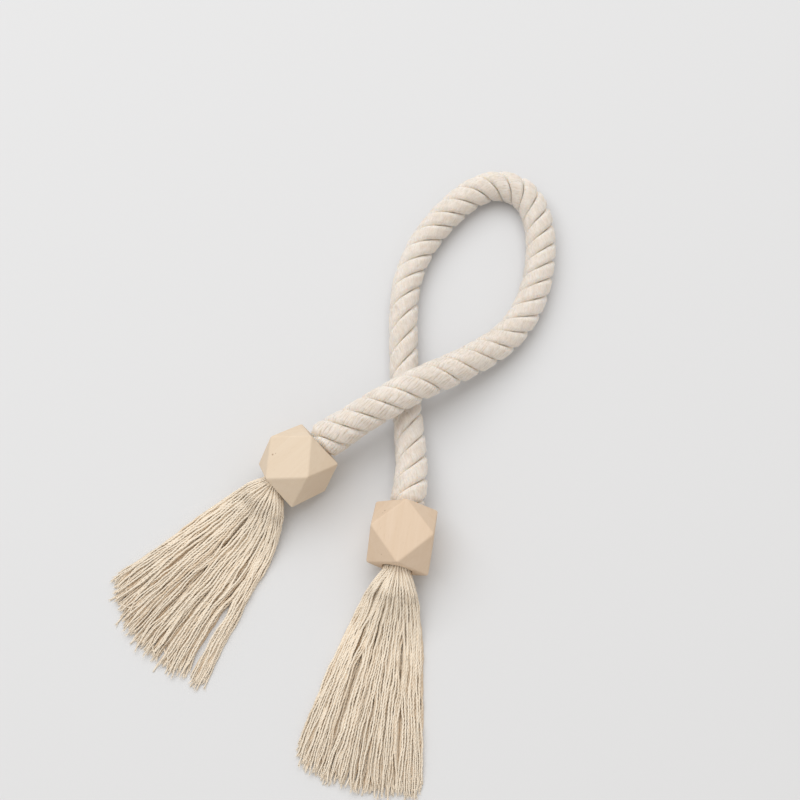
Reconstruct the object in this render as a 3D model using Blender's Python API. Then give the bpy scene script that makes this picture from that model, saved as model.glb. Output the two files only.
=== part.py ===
"""Curtain tieback: a short three-strand cotton rope with a faceted wooden bead and a tassel at each end.

The tieback lies on a flat surface. The rope runs up from the right bead, turns in a loop, comes back
down across its own first leg and ends in the left bead. Beyond each bead its yarns are laid open
as a tassel.

Frame: metres, +Z up, the surface at z = 0. +Y points from the tassels to the top of the loop and +X
to the right. The origin is on the surface, under the middle of the bounding box.
The tables below are a plan in millimetres, measured from a point near the place where the legs cross.
"""

import math
import random
from collections import namedtuple

import bmesh
import bpy
import numpy as np
from mathutils import Euler, Vector

# ---------------------------------------------------------------- driving dimensions, in millimetres

MM = 0.001
FIT_GAP = 0.3
PLAN_ORIGIN = (-25.2, -30.1, 0.0)

# The beads: cubes with their corners cut off to the middles of the edges. The bore runs along the
# bead's own x axis, whose + side takes the rope. Yaw is about z; pitch lifts the rope's side; roll
# is about the bore. A bead's height is that at which its lowest face or corner touches the surface.
# The face on the tassel's side is cut a little askew, by the skew's share of the width.
Bead = namedtuple("Bead", "size x y z yaw pitch roll")
BEADS = {
    "right": Bead(size=25.9, x=0.9, y=-61.0, z=12.95, yaw=81.2, pitch=0.0, roll=0.0),
    "left": Bead(size=24.7, x=-42.4, y=-30.6, z=14.29, yaw=42.0, pitch=11.0, roll=-8.6),
}
BEAD_EDGE_ROUND = 0.8
BEAD_SKEW = 0.07
BORE_RADIUS = 6.2
BORE_SIDES = 32
BORE_CUTTER_LENGTH = 40.0

# The rope's way between the beads, by its centre line. In each bore it ends a little short of the
# bead's middle, where the tassel's head meets it.
ROPE_ROUTE = [
    (3.9, -41.2, 11.9),
    (4.8, -32.0, 10.0),
    (4.5, -22.6, 8.0),
    (3.6, -11.5, 6.6),
    (2.6, -0.1, 6.1),
    (1.9, 11.3, 6.1),
    (1.6, 22.6, 6.1),
    (1.5, 34.1, 6.1),
    (2.1, 47.0, 6.1),
    (3.5, 55.1, 6.1),
    (6.2, 63.6, 6.1),
    (10.5, 72.5, 6.1),
    (16.7, 81.4, 6.1),
    (24.6, 90.0, 6.2),
    (33.2, 96.8, 6.3),
    (41.8, 99.9, 6.3),
    (49.4, 99.0, 6.3),
    (55.6, 94.8, 6.3),
    (59.7, 87.6, 6.3),
    (61.7, 78.3, 6.2),
    (61.8, 67.0, 6.2),
    (60.3, 56.3, 6.3),
    (57.6, 46.9, 6.5),
    (53.5, 38.2, 6.9),
    (47.8, 30.1, 7.7),
    (40.3, 23.1, 9.0),
    (31.2, 16.8, 11.2),
    (20.6, 10.2, 14.5),
    (9.7, 4.0, 18.2),
    (-0.8, -2.4, 20.1),
    (-10.9, -8.5, 20.1),
    (-20.6, -14.6, 19.0),
    (-27.8, -19.1, 17.8),
]
ROPE_END_DEPTH = 4.0
ROPE_STEP = 2.1
SAMPLES_PER_SPAN = 24

# The rope's radius over its strands, by distance from its end in the right bead.
Girth = namedtuple("Girth", "distance radius")
ROPE_GIRTH = [
    Girth(0.0, 5.8),
    Girth(9.4, 5.8),
    Girth(14.0, 7.2),
    Girth(30.0, 6.6),
    Girth(55.0, 6.2),
    Girth(115.0, 6.15),
    Girth(160.0, 6.5),
    Girth(250.0, 6.5),
    Girth(300.0, 6.9),
    Girth(340.0, 7.1),
    Girth(352.0, 7.4),
    Girth(357.5, 5.8),
    Girth(366.0, 5.8),
]

# The rope's twist: how many of its strands have passed over the top, by distance from the same end.
Twist = namedtuple("Twist", "distance strands")
ROPE_TWIST = [
    Twist(20.0, 0.5),
    Twist(60.0, 4.6),
    Twist(100.0, 8.5),
    Twist(140.0, 13.0),
    Twist(165.0, 16.0),
    Twist(185.0, 18.5),
    Twist(205.0, 21.2),
    Twist(235.0, 25.0),
    Twist(275.0, 29.5),
    Twist(315.0, 33.6),
    Twist(366.0, 39.2),
]
ROPE_STRANDS = 3
POINTS_PER_STRAND = 6
GROOVE_DEPTH = 0.24

# The tassels. Each fans out from its bead's mouth to a row of tips: the share of the strands that end
# to the left of the tip, the tip's heading in degrees from the mouth, and its reach.
Tip = namedtuple("Tip", "share heading reach")
Fan = namedtuple("Fan", "tips start_headings end_headings seed")
TASSELS = {
    "right": Fan(
        tips=[
            Tip(0.00, -120.5, 80.3),
            Tip(0.07, -117.7, 83.3),
            Tip(0.24, -111.6, 85.3),
            Tip(0.49, -102.0, 86.8),
            Tip(0.78, -91.0, 88.3),
            Tip(0.92, -86.0, 89.8),
            Tip(1.00, -83.0, 87.3),
        ],
        start_headings=(-131.0, -58.0),
        end_headings=(-113.0, -90.0),
        seed=5,
    ),
    "left": Fan(
        tips=[
            Tip(0.00, -151.8, 74.3),
            Tip(0.13, -146.4, 78.3),
            Tip(0.38, -136.1, 82.8),
            Tip(0.61, -126.5, 83.8),
            Tip(0.80, -118.8, 84.8),
            Tip(0.88, -115.6, 84.3),
            Tip(0.89, -112.4, 83.3),
            Tip(1.00, -107.8, 84.8),
        ],
        start_headings=(-164.0, -92.0),
        end_headings=(-148.0, -118.0),
        seed=9,
    ),
}
HEAD_PROUD = 0.5
HEAD_SIDES = 24
ROOT_DEPTH = 1.2
ROOT_SPREAD = 5.35
STRAND_ROWS = 9
ROWS_PER_LAYER = 3
STRANDS_PER_ROW = 8
ROOT_ROW_PITCH = 1.05
LAYER_PITCH = 1.6
START_PULL = 24.0
END_PULL = 36.0
FIRST_LANDING = 0.30
LANDING_STEP = 0.045
TIP_UNEVENNESS = 2.0

# A strand's three-sided section, by its place between root (0) and tip (1).
Waist = namedtuple("Waist", "place side")
STRAND_WAIST = [
    Waist(0.00, 0.55),
    Waist(0.08, 0.58),
    Waist(0.20, 0.66),
    Waist(0.34, 0.85),
    Waist(0.50, 1.12),
    Waist(0.72, 1.45),
    Waist(1.00, 1.50),
]

COTTON = (0.80, 0.72, 0.61, 1.0)
TASSEL_COTTON = (0.80, 0.71, 0.56, 1.0)
WOOD = (0.78, 0.58, 0.39, 1.0)


# ---------------------------------------------------------------- small helpers

def place(point):
    """Turn a point of the plan, in millimetres, into a point of the part's frame, in metres."""
    return Vector((point[k] - PLAN_ORIGIN[k]) * MM for k in range(3))


def heading(degrees):
    """A level unit vector at an angle from +X."""
    angle = math.radians(degrees)
    return np.array([math.cos(angle), math.sin(angle), 0.0])


def smoothstep(share):
    """Ease from 0 to 1 with level ends."""
    share = min(max(share, 0.0), 1.0)
    return share * share * (3.0 - 2.0 * share)


def eased(table, at):
    """Read a two-column table at a place, easing from row to row."""
    if at <= table[0][0]:
        return table[0][1]
    for (start, low), (end, high) in zip(table, table[1:]):
        if at <= end:
            return low + (high - low) * smoothstep((at - start) / (end - start))
    return table[-1][1]


def straight(table, at, column):
    """Read a named column of a table at a place, in straight lines from row to row."""
    return float(np.interp(at, [row[0] for row in table], [getattr(row, column) for row in table]))


def make_material(name, color, roughness):
    """A plain Principled material."""
    material = bpy.data.materials.new(name)
    material.use_nodes = True
    shader = material.node_tree.nodes["Principled BSDF"]
    shader.inputs["Base Color"].default_value = color
    shader.inputs["Roughness"].default_value = roughness
    shader.inputs["Metallic"].default_value = 0.0
    material.diffuse_color = color
    return material


def add_object(name, bm, material):
    """Put a bmesh into the scene as a named object."""
    mesh = bpy.data.meshes.new(name)
    bmesh.ops.recalc_face_normals(bm, faces=bm.faces)
    bm.to_mesh(mesh)
    bm.free()
    item = bpy.data.objects.new(name, mesh)
    item.data.materials.append(material)
    bpy.context.collection.objects.link(item)
    return item


def smooth_shade(item, sharp_angle):
    """Shade an object smooth, with its sharper edges kept."""
    item.data.shade_smooth()
    item.data.set_sharp_from_angle(angle=math.radians(sharp_angle))


def skin_rings(bm, rings):
    """Join rings of points into one closed tube with flat ends."""
    loops = [[bm.verts.new(point) for point in ring] for ring in rings]
    for lower, upper in zip(loops, loops[1:]):
        for k in range(len(lower)):
            after = (k + 1) % len(lower)
            bm.faces.new((lower[k], lower[after], upper[after], upper[k]))
    bm.faces.new(reversed(loops[0]))
    bm.faces.new(loops[-1])


def boolean(item, tool, operation):
    """Add an exact Boolean with a tool that stays out of the model."""
    tool.hide_render = True
    tool.display_type = 'WIRE'
    modifier = item.modifiers.new(operation.title(), 'BOOLEAN')
    modifier.operation = operation
    modifier.solver = 'EXACT'
    modifier.object = tool


# ---------------------------------------------------------------- beads

def bead_axis(bead):
    """The bore's direction, towards the rope."""
    level = math.cos(math.radians(bead.pitch))
    return heading(bead.yaw) * level + np.array([0.0, 0.0, math.sin(math.radians(bead.pitch))])


def bore_point(bead, distance):
    """A point of the plan on the bore's axis, at a distance from the bead's centre towards the rope."""
    return np.array([bead.x, bead.y, bead.z]) + bead_axis(bead) * distance


def mouth_depth(bead):
    """How far beyond the bead's centre the tassel's head ends, clear of the askew face."""
    return bead.size / 2 + (bead.size / 2 + BORE_RADIUS) * BEAD_SKEW + HEAD_PROUD


def make_bead(side, material):
    """A faceted bead with its edges eased and its bore cut through."""
    bead = BEADS[side]
    half = bead.size / 2 * MM
    bm = bmesh.new()
    for flat_axis in range(3):
        for first in (-half, half):
            for second in (-half, half):
                corner = [first, second]
                corner.insert(flat_axis, 0.0)
                bm.verts.new(corner)
    for vert in bm.verts:
        if vert.co.x < -half / 2:
            vert.co.x += (vert.co.y - half) * BEAD_SKEW
    bmesh.ops.convex_hull(bm, input=bm.verts)
    bmesh.ops.dissolve_limit(bm, angle_limit=math.radians(1), verts=bm.verts, edges=bm.edges)
    item = add_object("bead_" + side, bm, material)

    cutter_mesh = bmesh.new()
    bmesh.ops.create_cone(
        cutter_mesh,
        cap_ends=True,
        segments=BORE_SIDES,
        radius1=BORE_RADIUS * MM,
        radius2=BORE_RADIUS * MM,
        depth=BORE_CUTTER_LENGTH * MM,
    )
    cutter = add_object("bore_" + side, cutter_mesh, material)

    turn = Euler([math.radians(a) for a in (bead.roll, -bead.pitch, bead.yaw)])
    item.location = place((bead.x, bead.y, bead.z))
    item.rotation_euler = turn
    cutter.location = item.location
    cutter.rotation_euler = (turn.to_matrix() @ Euler((0, math.radians(90), 0)).to_matrix()).to_euler()

    rounding = item.modifiers.new("Eased edges", 'BEVEL')
    rounding.width = BEAD_EDGE_ROUND * MM
    rounding.segments = 2
    boolean(item, cutter, 'DIFFERENCE')
    smooth_shade(item, 20)
    return item


# ---------------------------------------------------------------- rope

def smooth_curve(points, step):
    """Walk a smooth curve through the points at an even step.

    The curve is a natural cubic spline. Returns the places walked through and their distances.
    """
    knots = np.array(points, dtype=float)
    spans = np.linalg.norm(np.diff(knots, axis=0), axis=1)
    count = len(knots)
    system = np.eye(count)
    pull = np.zeros((count, 3))
    slopes = np.diff(knots, axis=0) / spans[:, None]
    for k in range(1, count - 1):
        system[k, k - 1:k + 2] = spans[k - 1], 2 * (spans[k - 1] + spans[k]), spans[k]
        pull[k] = 6 * (slopes[k] - slopes[k - 1])
    bend = np.linalg.solve(system, pull)

    fine = []
    for k, span in enumerate(spans):
        for t in np.linspace(0.0, span, SAMPLES_PER_SPAN, endpoint=False):
            rest = span - t
            fine.append(
                (bend[k] * rest**3 + bend[k + 1] * t**3) / (6 * span)
                + (knots[k] / span - bend[k] * span / 6) * rest
                + (knots[k + 1] / span - bend[k + 1] * span / 6) * t
            )
    fine.append(knots[-1])
    fine = np.array(fine)
    lengths = np.concatenate(([0.0], np.cumsum(np.linalg.norm(np.diff(fine, axis=0), axis=1))))
    distances = np.linspace(0.0, lengths[-1], round(lengths[-1] / step) + 1)
    places = np.stack([np.interp(distances, lengths, fine[:, k]) for k in range(3)], axis=1)
    return places, distances


def rope_points():
    """The rope's whole route: straight in each bore, free in between."""
    right, left = BEADS["right"], BEADS["left"]
    enter = [bore_point(right, d) for d in (ROPE_END_DEPTH, right.size / 4, right.size / 2)]
    leave = [bore_point(left, d) for d in (left.size / 2, left.size / 4, ROPE_END_DEPTH)]
    return enter + ROPE_ROUTE + leave


def twist_angle(distance):
    """The turn, in radians, of a groove between strands from the top of the rope at a distance."""
    first, second = ROPE_TWIST[0], ROPE_TWIST[1]
    last, before = ROPE_TWIST[-1], ROPE_TWIST[-2]
    if distance < first.distance:
        rate = (second.strands - first.strands) / (second.distance - first.distance)
        strands = first.strands - (first.distance - distance) * rate
    elif distance > last.distance:
        rate = (last.strands - before.strands) / (last.distance - before.distance)
        strands = last.strands + (distance - last.distance) * rate
    else:
        strands = straight(ROPE_TWIST, distance, "strands")
    return strands * 2 * math.pi / ROPE_STRANDS


def rope_ring(center, forward, distance):
    """One three-lobed cross-section of the rope, pressed flat where it meets the surface."""
    side = np.cross((0.0, 0.0, 1.0), forward)
    side /= np.linalg.norm(side)
    up = np.cross(forward, side)
    radius = eased(ROPE_GIRTH, distance)
    groove = math.pi / 2 + twist_angle(distance)
    ring = []
    for k in range(ROPE_STRANDS * POINTS_PER_STRAND):
        across = (k % POINTS_PER_STRAND) / POINTS_PER_STRAND
        angle = groove + 2 * math.pi * k / (ROPE_STRANDS * POINTS_PER_STRAND)
        reach = radius * (1 - GROOVE_DEPTH * (1 - math.sin(math.pi * across)) ** 3)
        point = center + reach * (math.cos(angle) * side + math.sin(angle) * up)
        point[2] = max(point[2], 0.0)
        ring.append(place(point))
    return ring


def make_rope(material):
    """The twisted rope as one solid, from inside one bead to inside the other."""
    centers, distances = smooth_curve(rope_points(), ROPE_STEP)
    forwards = np.gradient(centers, axis=0)
    forwards /= np.linalg.norm(forwards, axis=1)[:, None]
    bm = bmesh.new()
    skin_rings(bm, [rope_ring(*station) for station in zip(centers, forwards, distances)])
    item = add_object("rope", bm, material)
    smooth_shade(item, 50)
    return item


# ---------------------------------------------------------------- tassels

def strand_line(side, row, slot, jitter):
    """The way of one strand from the mouth of its bead to its tip, as a function of 0 to 1."""
    bead, fan = BEADS[side], TASSELS[side]
    axis = bead_axis(bead)
    across = np.cross(axis, (0.0, 0.0, 1.0))
    across /= -np.linalg.norm(across)
    up = np.cross(axis, across)
    layer, sub_row = divmod(row, ROWS_PER_LAYER)
    share = (slot + (sub_row + 0.5) / ROWS_PER_LAYER) / STRANDS_PER_ROW
    middle_row = (STRAND_ROWS - 1) / 2
    lift = (row - middle_row) * ROOT_ROW_PITCH
    layer_rows = (layer * ROWS_PER_LAYER, layer * ROWS_PER_LAYER + ROWS_PER_LAYER - 1)
    layer_lift = max(abs(end - middle_row) for end in layer_rows) * ROOT_ROW_PITCH
    half_width = math.sqrt(ROOT_SPREAD**2 - layer_lift**2)

    mouth = bore_point(bead, -mouth_depth(bead))
    root = mouth + across * half_width * (1 - 2 * share) + up * lift
    reach = straight(fan.tips, share, "reach") + jitter
    tip = mouth + heading(straight(fan.tips, share, "heading")) * reach
    start = heading(np.interp(share, (0, 1), fan.start_headings))
    end = heading(np.interp(share, (0, 1), fan.end_headings))
    pulls = [root, root + start * START_PULL, tip - end * END_PULL, tip]
    landing = FIRST_LANDING + LANDING_STEP * row

    def at(t):
        rest = 1 - t
        weights = (rest**3, 3 * rest**2 * t, 3 * rest * t**2, t**3)
        point = sum(weight * pull for weight, pull in zip(weights, pulls))
        landed = smoothstep(t / landing)
        point[2] = root[2] * (1 - landed) + layer * LAYER_PITCH * landed
        return point

    return at, root + axis * ROOT_DEPTH


def strand_rings(side, row, slot, jitter):
    """The three-sided cross-sections of one strand, its flat side down."""
    at, buried = strand_line(side, row, slot, jitter)
    points = [buried] + [at(waist.place) for waist in STRAND_WAIST]
    sides = [STRAND_WAIST[0].side] + [waist.side for waist in STRAND_WAIST]
    forwards = np.gradient(np.array(points), axis=0)
    rings = []
    for point, width, forward in zip(points, sides, forwards):
        level = np.cross(forward, (0.0, 0.0, 1.0))
        level /= np.linalg.norm(level)
        up = np.cross(level, forward / np.linalg.norm(forward))
        flat = [point - level * width / 2, point + level * width / 2]
        peak = (flat[0] + flat[1]) / 2 + up * width * math.sqrt(3) / 2
        rings.append([place(corner) for corner in (*flat, peak)])
    return rings


def make_tassel(side, material):
    """A tassel: the rope's end, pressed together in the bore, and its strands laid open beyond."""
    bead = BEADS[side]
    chance = random.Random(TASSELS[side].seed)
    bm = bmesh.new()
    for row in range(STRAND_ROWS):
        for slot in range(STRANDS_PER_ROW):
            jitter = chance.uniform(-TIP_UNEVENNESS, TIP_UNEVENNESS)
            skin_rings(bm, strand_rings(side, row, slot, jitter))
    strands = add_object("strands_" + side, bm, material)

    inner, outer = ROPE_END_DEPTH - FIT_GAP, -mouth_depth(bead)
    bm = bmesh.new()
    bmesh.ops.create_cone(
        bm,
        cap_ends=True,
        segments=HEAD_SIDES,
        radius1=(BORE_RADIUS - FIT_GAP) * MM,
        radius2=(BORE_RADIUS - FIT_GAP) * MM,
        depth=(inner - outer) * MM,
    )
    item = add_object("tassel_" + side, bm, material)
    item.location = place(bore_point(bead, (inner + outer) / 2))
    item.rotation_euler = Vector(bead_axis(bead)).to_track_quat('Z', 'Y').to_euler()
    boolean(item, strands, 'UNION')
    smooth_shade(item, 60)
    return item


# ---------------------------------------------------------------- the whole tieback

def main():
    for item in list(bpy.data.objects):
        bpy.data.objects.remove(item, do_unlink=True)
    cotton = make_material("cotton_rope", COTTON, 0.9)
    tassel_cotton = make_material("cotton_tassel", TASSEL_COTTON, 0.9)
    wood = make_material("bead_wood", WOOD, 0.6)
    make_rope(cotton)
    for side in BEADS:
        make_bead(side, wood)
        make_tassel(side, tassel_cotton)


main()
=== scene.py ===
"""A cotton curtain tieback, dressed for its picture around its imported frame.

The rope is three strands of yarn laid up together, the beads are sanded wood, and each tassel is the
rope's own yarns, opened out. The tieback lies on a pale table under soft light.

Frame: metres, +Z up, the table at z = 0. The tables of places are a plan in millimetres, measured from
a point near the place where the rope's legs cross.
"""

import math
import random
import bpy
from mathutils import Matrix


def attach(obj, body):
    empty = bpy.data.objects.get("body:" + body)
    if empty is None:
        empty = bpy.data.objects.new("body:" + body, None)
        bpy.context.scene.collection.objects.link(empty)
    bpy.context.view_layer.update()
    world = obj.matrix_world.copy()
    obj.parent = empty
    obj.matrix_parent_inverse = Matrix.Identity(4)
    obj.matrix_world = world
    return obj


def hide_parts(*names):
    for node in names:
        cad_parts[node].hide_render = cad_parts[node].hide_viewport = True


bl_info = {
    "name": "Cotton Curtain Tieback",
    "version": (1, 0, 0),
    "blender": (4, 5, 0),
    "location": "3D View > Sidebar > Tieback",
    "description": "Builds a twisted cotton tieback with wooden beads and tassels around its frame",
    "category": "Object",
}

from collections import namedtuple

import bpy
import numpy as np
from bpy.props import FloatProperty, FloatVectorProperty, IntProperty, PointerProperty
from bpy.types import Operator, Panel, PropertyGroup
from mathutils import Euler, Matrix, Vector

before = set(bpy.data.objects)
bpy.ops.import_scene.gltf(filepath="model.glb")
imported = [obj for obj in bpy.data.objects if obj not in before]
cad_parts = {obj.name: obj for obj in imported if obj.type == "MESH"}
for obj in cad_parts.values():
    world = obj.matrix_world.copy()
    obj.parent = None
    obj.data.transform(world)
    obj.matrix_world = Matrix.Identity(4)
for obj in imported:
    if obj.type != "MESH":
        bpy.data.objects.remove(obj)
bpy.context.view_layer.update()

# ---------------------------------------------------------------- the tieback's own sizes, in millimetres

MM = 0.001
PLAN_ORIGIN = (-25.2, -30.1, 0.0)

# The beads: cubes with their corners cut off to the middles of the edges. The bore runs along the
# bead's own x axis, whose + side takes the rope. Yaw is about z; pitch lifts the rope's side; roll
# is about the bore. The face on the tassel's side is cut a little askew, by the skew's share.
Bead = namedtuple("Bead", "size x y z yaw pitch roll")
BEADS = {
    "right": Bead(size=25.9, x=0.9, y=-61.0, z=12.95, yaw=81.2, pitch=0.0, roll=0.0),
    "left": Bead(size=24.7, x=-42.4, y=-30.6, z=14.29, yaw=42.0, pitch=11.0, roll=-8.6),
}
BEAD_SKEW = 0.07
BORE_RADIUS = 6.2
HEAD_PROUD = 0.5

# Small dark pits in the beads' faces, by place on the bead (its own axes), and radius. The rope has such marks too,
# where a thread has snagged, and the last two of its marks are painted shadow on the lower leg under the crossing.
Pit = namedtuple("Pit", "x y z radius")
PITS = {
    "right": [Pit(7.07, 8.26, 10.57, 0.5), Pit(-10.53, 6.73, 8.63, 0.45), Pit(5.9, 8.9, 11.1, 0.3)],
    "left": [Pit(-4.46, 5.71, 12.34, 0.5), Pit(-3.2, 5.2, 12.34, 0.25)],
}

SNAGS_AND_SHADE = [
    Pit(58.3, 43.4, 12.1, 0.55),
    Pit(59.8, 44.0, 12.3, 0.6),
    Pit(61.3, 43.5, 12.4, 0.5),
    Pit(59.2, 45.2, 12.3, 0.4),
    Pit(60.0, 42.4, 12.2, 0.35),
    # Painted shadow: two dark marks on the lower leg, just under the upper leg where it crosses over.
    Pit(1.7, -6.9, 12.4, 0.7),
    Pit(3.0, -7.8, 12.5, 0.5),
]

# The rope's way between the beads, by its centre line.
ROPE_ROUTE = [
    (3.9, -41.2, 11.9),
    (4.8, -32.0, 10.0),
    (4.5, -22.6, 8.0),
    (3.6, -11.5, 6.6),
    (2.6, -0.1, 6.1),
    (1.9, 11.3, 6.1),
    (1.6, 22.6, 6.1),
    (1.5, 34.1, 6.1),
    (2.1, 47.0, 6.1),
    (3.5, 55.1, 6.1),
    (6.2, 63.6, 6.1),
    (10.5, 72.5, 6.1),
    (16.7, 81.4, 6.1),
    (24.6, 90.0, 6.2),
    (33.2, 96.8, 6.3),
    (41.8, 99.9, 6.3),
    (49.4, 99.0, 6.3),
    (55.6, 94.8, 6.3),
    (59.7, 87.6, 6.3),
    (61.7, 78.3, 6.2),
    (61.8, 67.0, 6.2),
    (60.3, 56.3, 6.3),
    (57.6, 46.9, 6.5),
    (53.5, 38.2, 6.9),
    (47.8, 30.1, 7.7),
    (40.3, 23.1, 9.0),
    (31.2, 16.8, 11.2),
    (20.6, 10.2, 14.5),
    (9.7, 4.0, 18.2),
    (-0.8, -2.4, 20.1),
    (-10.9, -8.5, 20.1),
    (-20.6, -14.6, 19.0),
    (-27.8, -19.1, 17.8),
]
ROPE_END_DEPTH = 4.0
SAMPLES_PER_SPAN = 24

# The rope's radius over its strands, by distance from its end in the right bead.
Girth = namedtuple("Girth", "distance radius")
ROPE_GIRTH = [
    Girth(0.0, 5.8),
    Girth(9.2, 5.9),
    Girth(11.6, 7.2),
    Girth(30.0, 6.6),
    Girth(55.0, 6.2),
    Girth(115.0, 6.15),
    Girth(160.0, 6.5),
    Girth(250.0, 6.5),
    Girth(300.0, 6.9),
    Girth(340.0, 7.1),
    Girth(350.0, 7.7),
    Girth(355.6, 7.7),
    Girth(358.0, 5.9),
    Girth(366.0, 5.8),
]

# The rope's twist: how many of its strands have passed over the top, by distance from the same end.
Twist = namedtuple("Twist", "distance strands")
ROPE_TWIST = [
    Twist(20.0, 0.5),
    Twist(60.0, 4.6),
    Twist(100.0, 8.5),
    Twist(140.0, 13.0),
    Twist(165.0, 16.0),
    Twist(185.0, 18.5),
    Twist(205.0, 21.2),
    Twist(235.0, 25.0),
    Twist(275.0, 29.5),
    Twist(315.0, 33.6),
    Twist(366.0, 39.2),
]
ROPE_STRANDS = 3
ROPE_RING_STEP = 0.72

# How strongly the yarns show on the strands: least round the loop, most where the rope is drawn tight.
Show = namedtuple("Show", "distance share")
YARNS_SHOW = [
    Show(0.0, 1.0),
    Show(40.0, 0.5),
    Show(165.0, 0.5),
    Show(182.0, 1.3),
    Show(198.0, 0.5),
    Show(250.0, 0.6),
    Show(290.0, 1.3),
    Show(366.0, 1.7),
]

# A strand's outline in the rope's section, as shares of the rope's radius, and how closely the yarns
# are spaced on the side that the other strands hide.
STRAND_CORNER = 0.32
STRAND_GAP = 0.012
STRAND_APEX = 0.16
HIDDEN_SPACING = 0.28
HIDDEN_FROM = math.radians(128)
YARN_PROFILE = (0.0, 0.72, 1.0, 1.0, 0.72)
FIBRE_WIDTH = np.array([0.055, 0.05, 0.025])

# The tassels. Each fans out from its bead's mouth to a row of tips: the share of the yarns that end
# to the left of the tip, the tip's heading in degrees from the mouth, and its reach.
Tip = namedtuple("Tip", "share heading reach")
# A parting: where it runs (share of the fan, from and to a share of the length), its half width, and
# how deep into the pile it opens (0 is the table, 1 the top).
Parting = namedtuple("Parting", "share start end width depth")
# A stray yarn on top: the share of the fan that it comes from, and how far it drifts to the right at
# shares of its length.
Stray = namedtuple("Stray", "share places drifts")
Fan = namedtuple("Fan", "tips start_headings end_headings partings strays seed")
TASSELS = {
    "right": Fan(
        tips=[
            Tip(0.00, -120.5, 80.3),
            Tip(0.07, -117.7, 83.3),
            Tip(0.24, -111.6, 85.3),
            Tip(0.49, -102.0, 86.3),
            Tip(0.78, -91.0, 87.2),
            Tip(0.92, -86.0, 88.2),
            Tip(1.00, -83.0, 86.6),
        ],
        start_headings=(-131.5, -70.0),
        end_headings=(-115.5, -86.0),
        partings=[
            Parting(0.17, 0.02, 0.30, 1.4, 0.5),
            Parting(0.21, 0.26, 0.55, 1.0, 0.5),
            Parting(0.285, 0.40, 0.95, 1.5, 0.45),
            Parting(0.40, 0.12, 0.58, 0.8, 0.5),
            Parting(0.53, 0.60, 0.90, 1.0, 0.35),
            Parting(0.765, 0.28, 0.58, 1.0, 0.35),
            Parting(0.81, 0.60, 0.95, 1.1, 0.3),
        ],
        strays=[Stray(0.74, (0.50, 0.62, 1.0), (0.0, 4.2, 6.0))],
        seed=5,
    ),
    "left": Fan(
        tips=[
            Tip(0.00, -151.8, 74.3),
            Tip(0.13, -146.4, 77.4),
            Tip(0.38, -136.1, 81.8),
            Tip(0.61, -126.5, 83.8),
            Tip(0.80, -118.8, 84.8),
            Tip(0.884, -113.6, 83.8),
            Tip(0.886, -113.2, 83.6),
            Tip(1.00, -108.8, 84.4),
        ],
        start_headings=(-164.0, -84.0),
        end_headings=(-148.0, -109.0),
        partings=[
            Parting(0.475, 0.16, 0.50, 1.1, 0.45),
            Parting(0.51, 0.50, 0.95, 1.3, 0.4),
            Parting(0.685, 0.60, 1.10, 1.3, 0.35),
            Parting(0.82, 0.18, 0.60, 0.9, 0.4),
            Parting(0.25, 0.45, 0.90, 0.6, 0.45),
            Parting(0.885, 0.60, 1.40, 1.8, -0.2),
        ],
        strays=[Stray(0.97, (0.34, 0.44, 0.54), (0.0, 1.8, 0.0)), Stray(0.53, (0.8, 1.0), (0.0, -4.0))],
        seed=9,
    ),
}
START_PULL = 24.0
END_PULL = 36.0
TIP_UNEVENNESS = 2.0
YARN_STATION = 2.0
YARN_OUTLINE = (1.0, 0.90, 0.76, 0.90, 1.0, 0.90, 0.76, 0.90)

# The camera looks down on the tieback from the front, as far off as a hand-held one.
LOOK_AT = (0.0, 0.0, 6.1)
CAMERA_TILT = math.radians(17.7)
CAMERA_DISTANCE = 680.0
PICTURE_PIXELS = 800
FOCAL_PIXELS = 1592.5
SENSOR_WIDTH = 36.0


# ---------------------------------------------------------------- small helpers

def place(point):
    """Turn a point of the plan, in millimetres, into a point of the frame, in metres."""
    return Vector((point[k] - PLAN_ORIGIN[k]) * MM for k in range(3))


def placed(points):
    """Turn an array of points of the plan into points of the frame."""
    return (np.asarray(points, dtype=float) - np.array(PLAN_ORIGIN)) * MM


def heading(degrees):
    """Level unit vectors at angles from +X."""
    angle = np.radians(degrees)
    return np.stack([np.cos(angle), np.sin(angle), np.zeros_like(angle)], axis=-1)


def smoothstep(share):
    """Ease from 0 to 1 with level ends."""
    share = np.clip(share, 0.0, 1.0)
    return share * share * (3.0 - 2.0 * share)


def eased(table, at):
    """Read a two-column table at places, easing from row to row."""
    at = np.asarray(at, dtype=float)
    result = np.full(at.shape, table[0][1])
    for (start, low), (end, high) in zip(table, table[1:]):
        result = np.where(at > start, low + (high - low) * smoothstep((at - start) / (end - start)), result)
    return result


def straight(table, at, column):
    """Read a named column of a table at places, in straight lines from row to row."""
    return np.interp(at, [row[0] for row in table], [getattr(row, column) for row in table])


def unit(vectors):
    """Scale vectors to length 1."""
    return vectors / np.linalg.norm(vectors, axis=-1, keepdims=True)


def wander(chance, at, wavelengths, shape):
    """Smooth random waves along a line: a row of values for each of shape rows, about -1 to 1."""
    total = np.zeros((shape, len(at)))
    for wavelength in wavelengths:
        phase = np.array([chance.uniform(0, 2 * math.pi) for _ in range(shape)])[:, None]
        pitch = np.array([wavelength * chance.uniform(0.75, 1.3) for _ in range(shape)])[:, None]
        total += np.sin(2 * math.pi * at[None, :] / pitch + phase)
    return total / len(wavelengths)


# ---------------------------------------------------------------- meshes

def start_clean():
    """Leave nothing selected, so that an operator acts on what it is given."""
    if bpy.context.mode != 'OBJECT':
        bpy.ops.object.mode_set(mode='OBJECT')
    bpy.ops.object.select_all(action='DESELECT')


def only(item):
    """Make one object the selected and active one."""
    start_clean()
    item.select_set(True)
    bpy.context.view_layer.objects.active = item


def apply_modifiers(item):
    """Apply every modifier of an object, in order."""
    only(item)
    for modifier in list(item.modifiers):
        bpy.ops.object.modifier_apply(modifier=modifier.name)


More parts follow.
